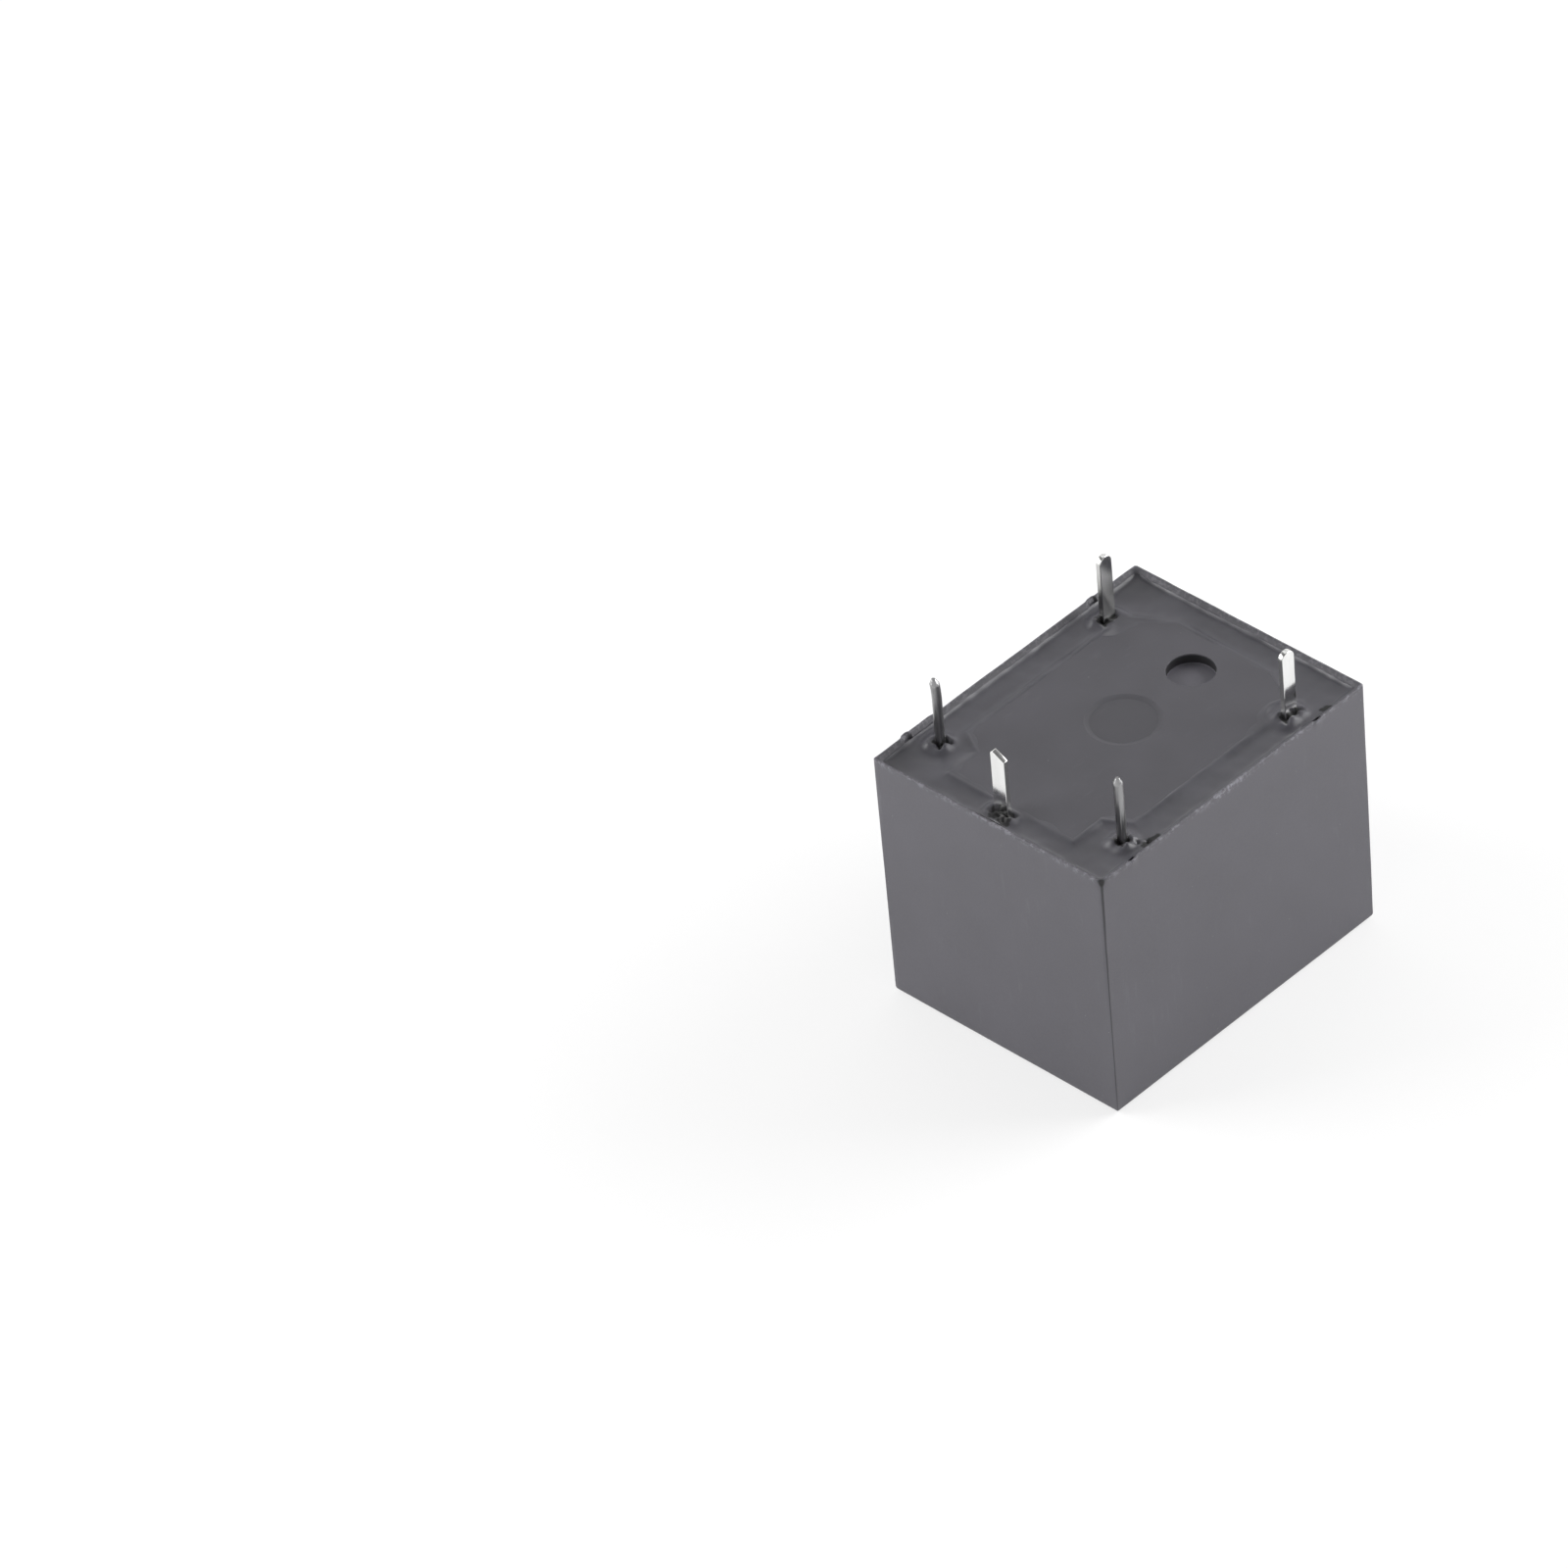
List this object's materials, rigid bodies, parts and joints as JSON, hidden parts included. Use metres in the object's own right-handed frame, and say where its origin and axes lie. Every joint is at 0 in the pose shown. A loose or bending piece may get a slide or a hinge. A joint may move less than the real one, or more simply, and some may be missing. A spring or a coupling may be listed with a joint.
{
  "type": "pcb power relay",
  "caption": "Sealed power relay for a circuit board, lying on its cover with its pins up, the coil, armature and changeover contacts inside.",
  "frame": {"origin": "centre of the cover's closed outer face, which the relay lies on", "axes": "+Z along the pins, +X from the common pin's end to the contact end, +Y towards the normally open pin"},
  "size_m": [0.0192, 0.0152, 0.0188],
  "materials": {
    "cover_plastic": "satin moulded dark grey",
    "base_plastic": "fine matte moulded dark grey",
    "potting": "glossy set resin",
    "bobbin_plastic": "moulded black",
    "enamelled_wire": "enamelled copper wire",
    "magnet_iron": "plated soft iron",
    "tinned_metal": "bright tinned",
    "spring_bronze": "rolled bronze strip",
    "contact_silver": "silver alloy",
    "solder": "solder"
  },
  "bodies": {
    "housing": {"cover": "cover_plastic", "base": "base_plastic", "epoxy_seal": "potting", "bobbin": "bobbin_plastic", "coil_winding": "enamelled_wire", "core": "magnet_iron", "yoke": "magnet_iron", "com_terminal": "tinned_metal", "no_terminal": "tinned_metal", "no_contact": "contact_silver", "nc_terminal": "tinned_metal", "nc_contact": "contact_silver", "coil_pin_a": "tinned_metal", "coil_pin_b": "tinned_metal", "coil_lead_a": "enamelled_wire", "coil_lead_b": "enamelled_wire", "coil_solder_a": "solder", "coil_solder_b": "solder"},
    "armature": {"armature": "magnet_iron", "moving_spring": "spring_bronze", "moving_contact": "contact_silver"}
  },
  "joints": [
    {"name": "armature_pivot", "type": "hinge", "parent": "housing", "child": "armature", "pos_m": [-0.00795, 0, 0.00355], "axis": [0, -1, 0], "range_deg": [0, 2], "stiffness_Nm_per_rad": 0.01, "springref_deg": -5.73, "deforming": ["moving_spring"]}
  ]
}
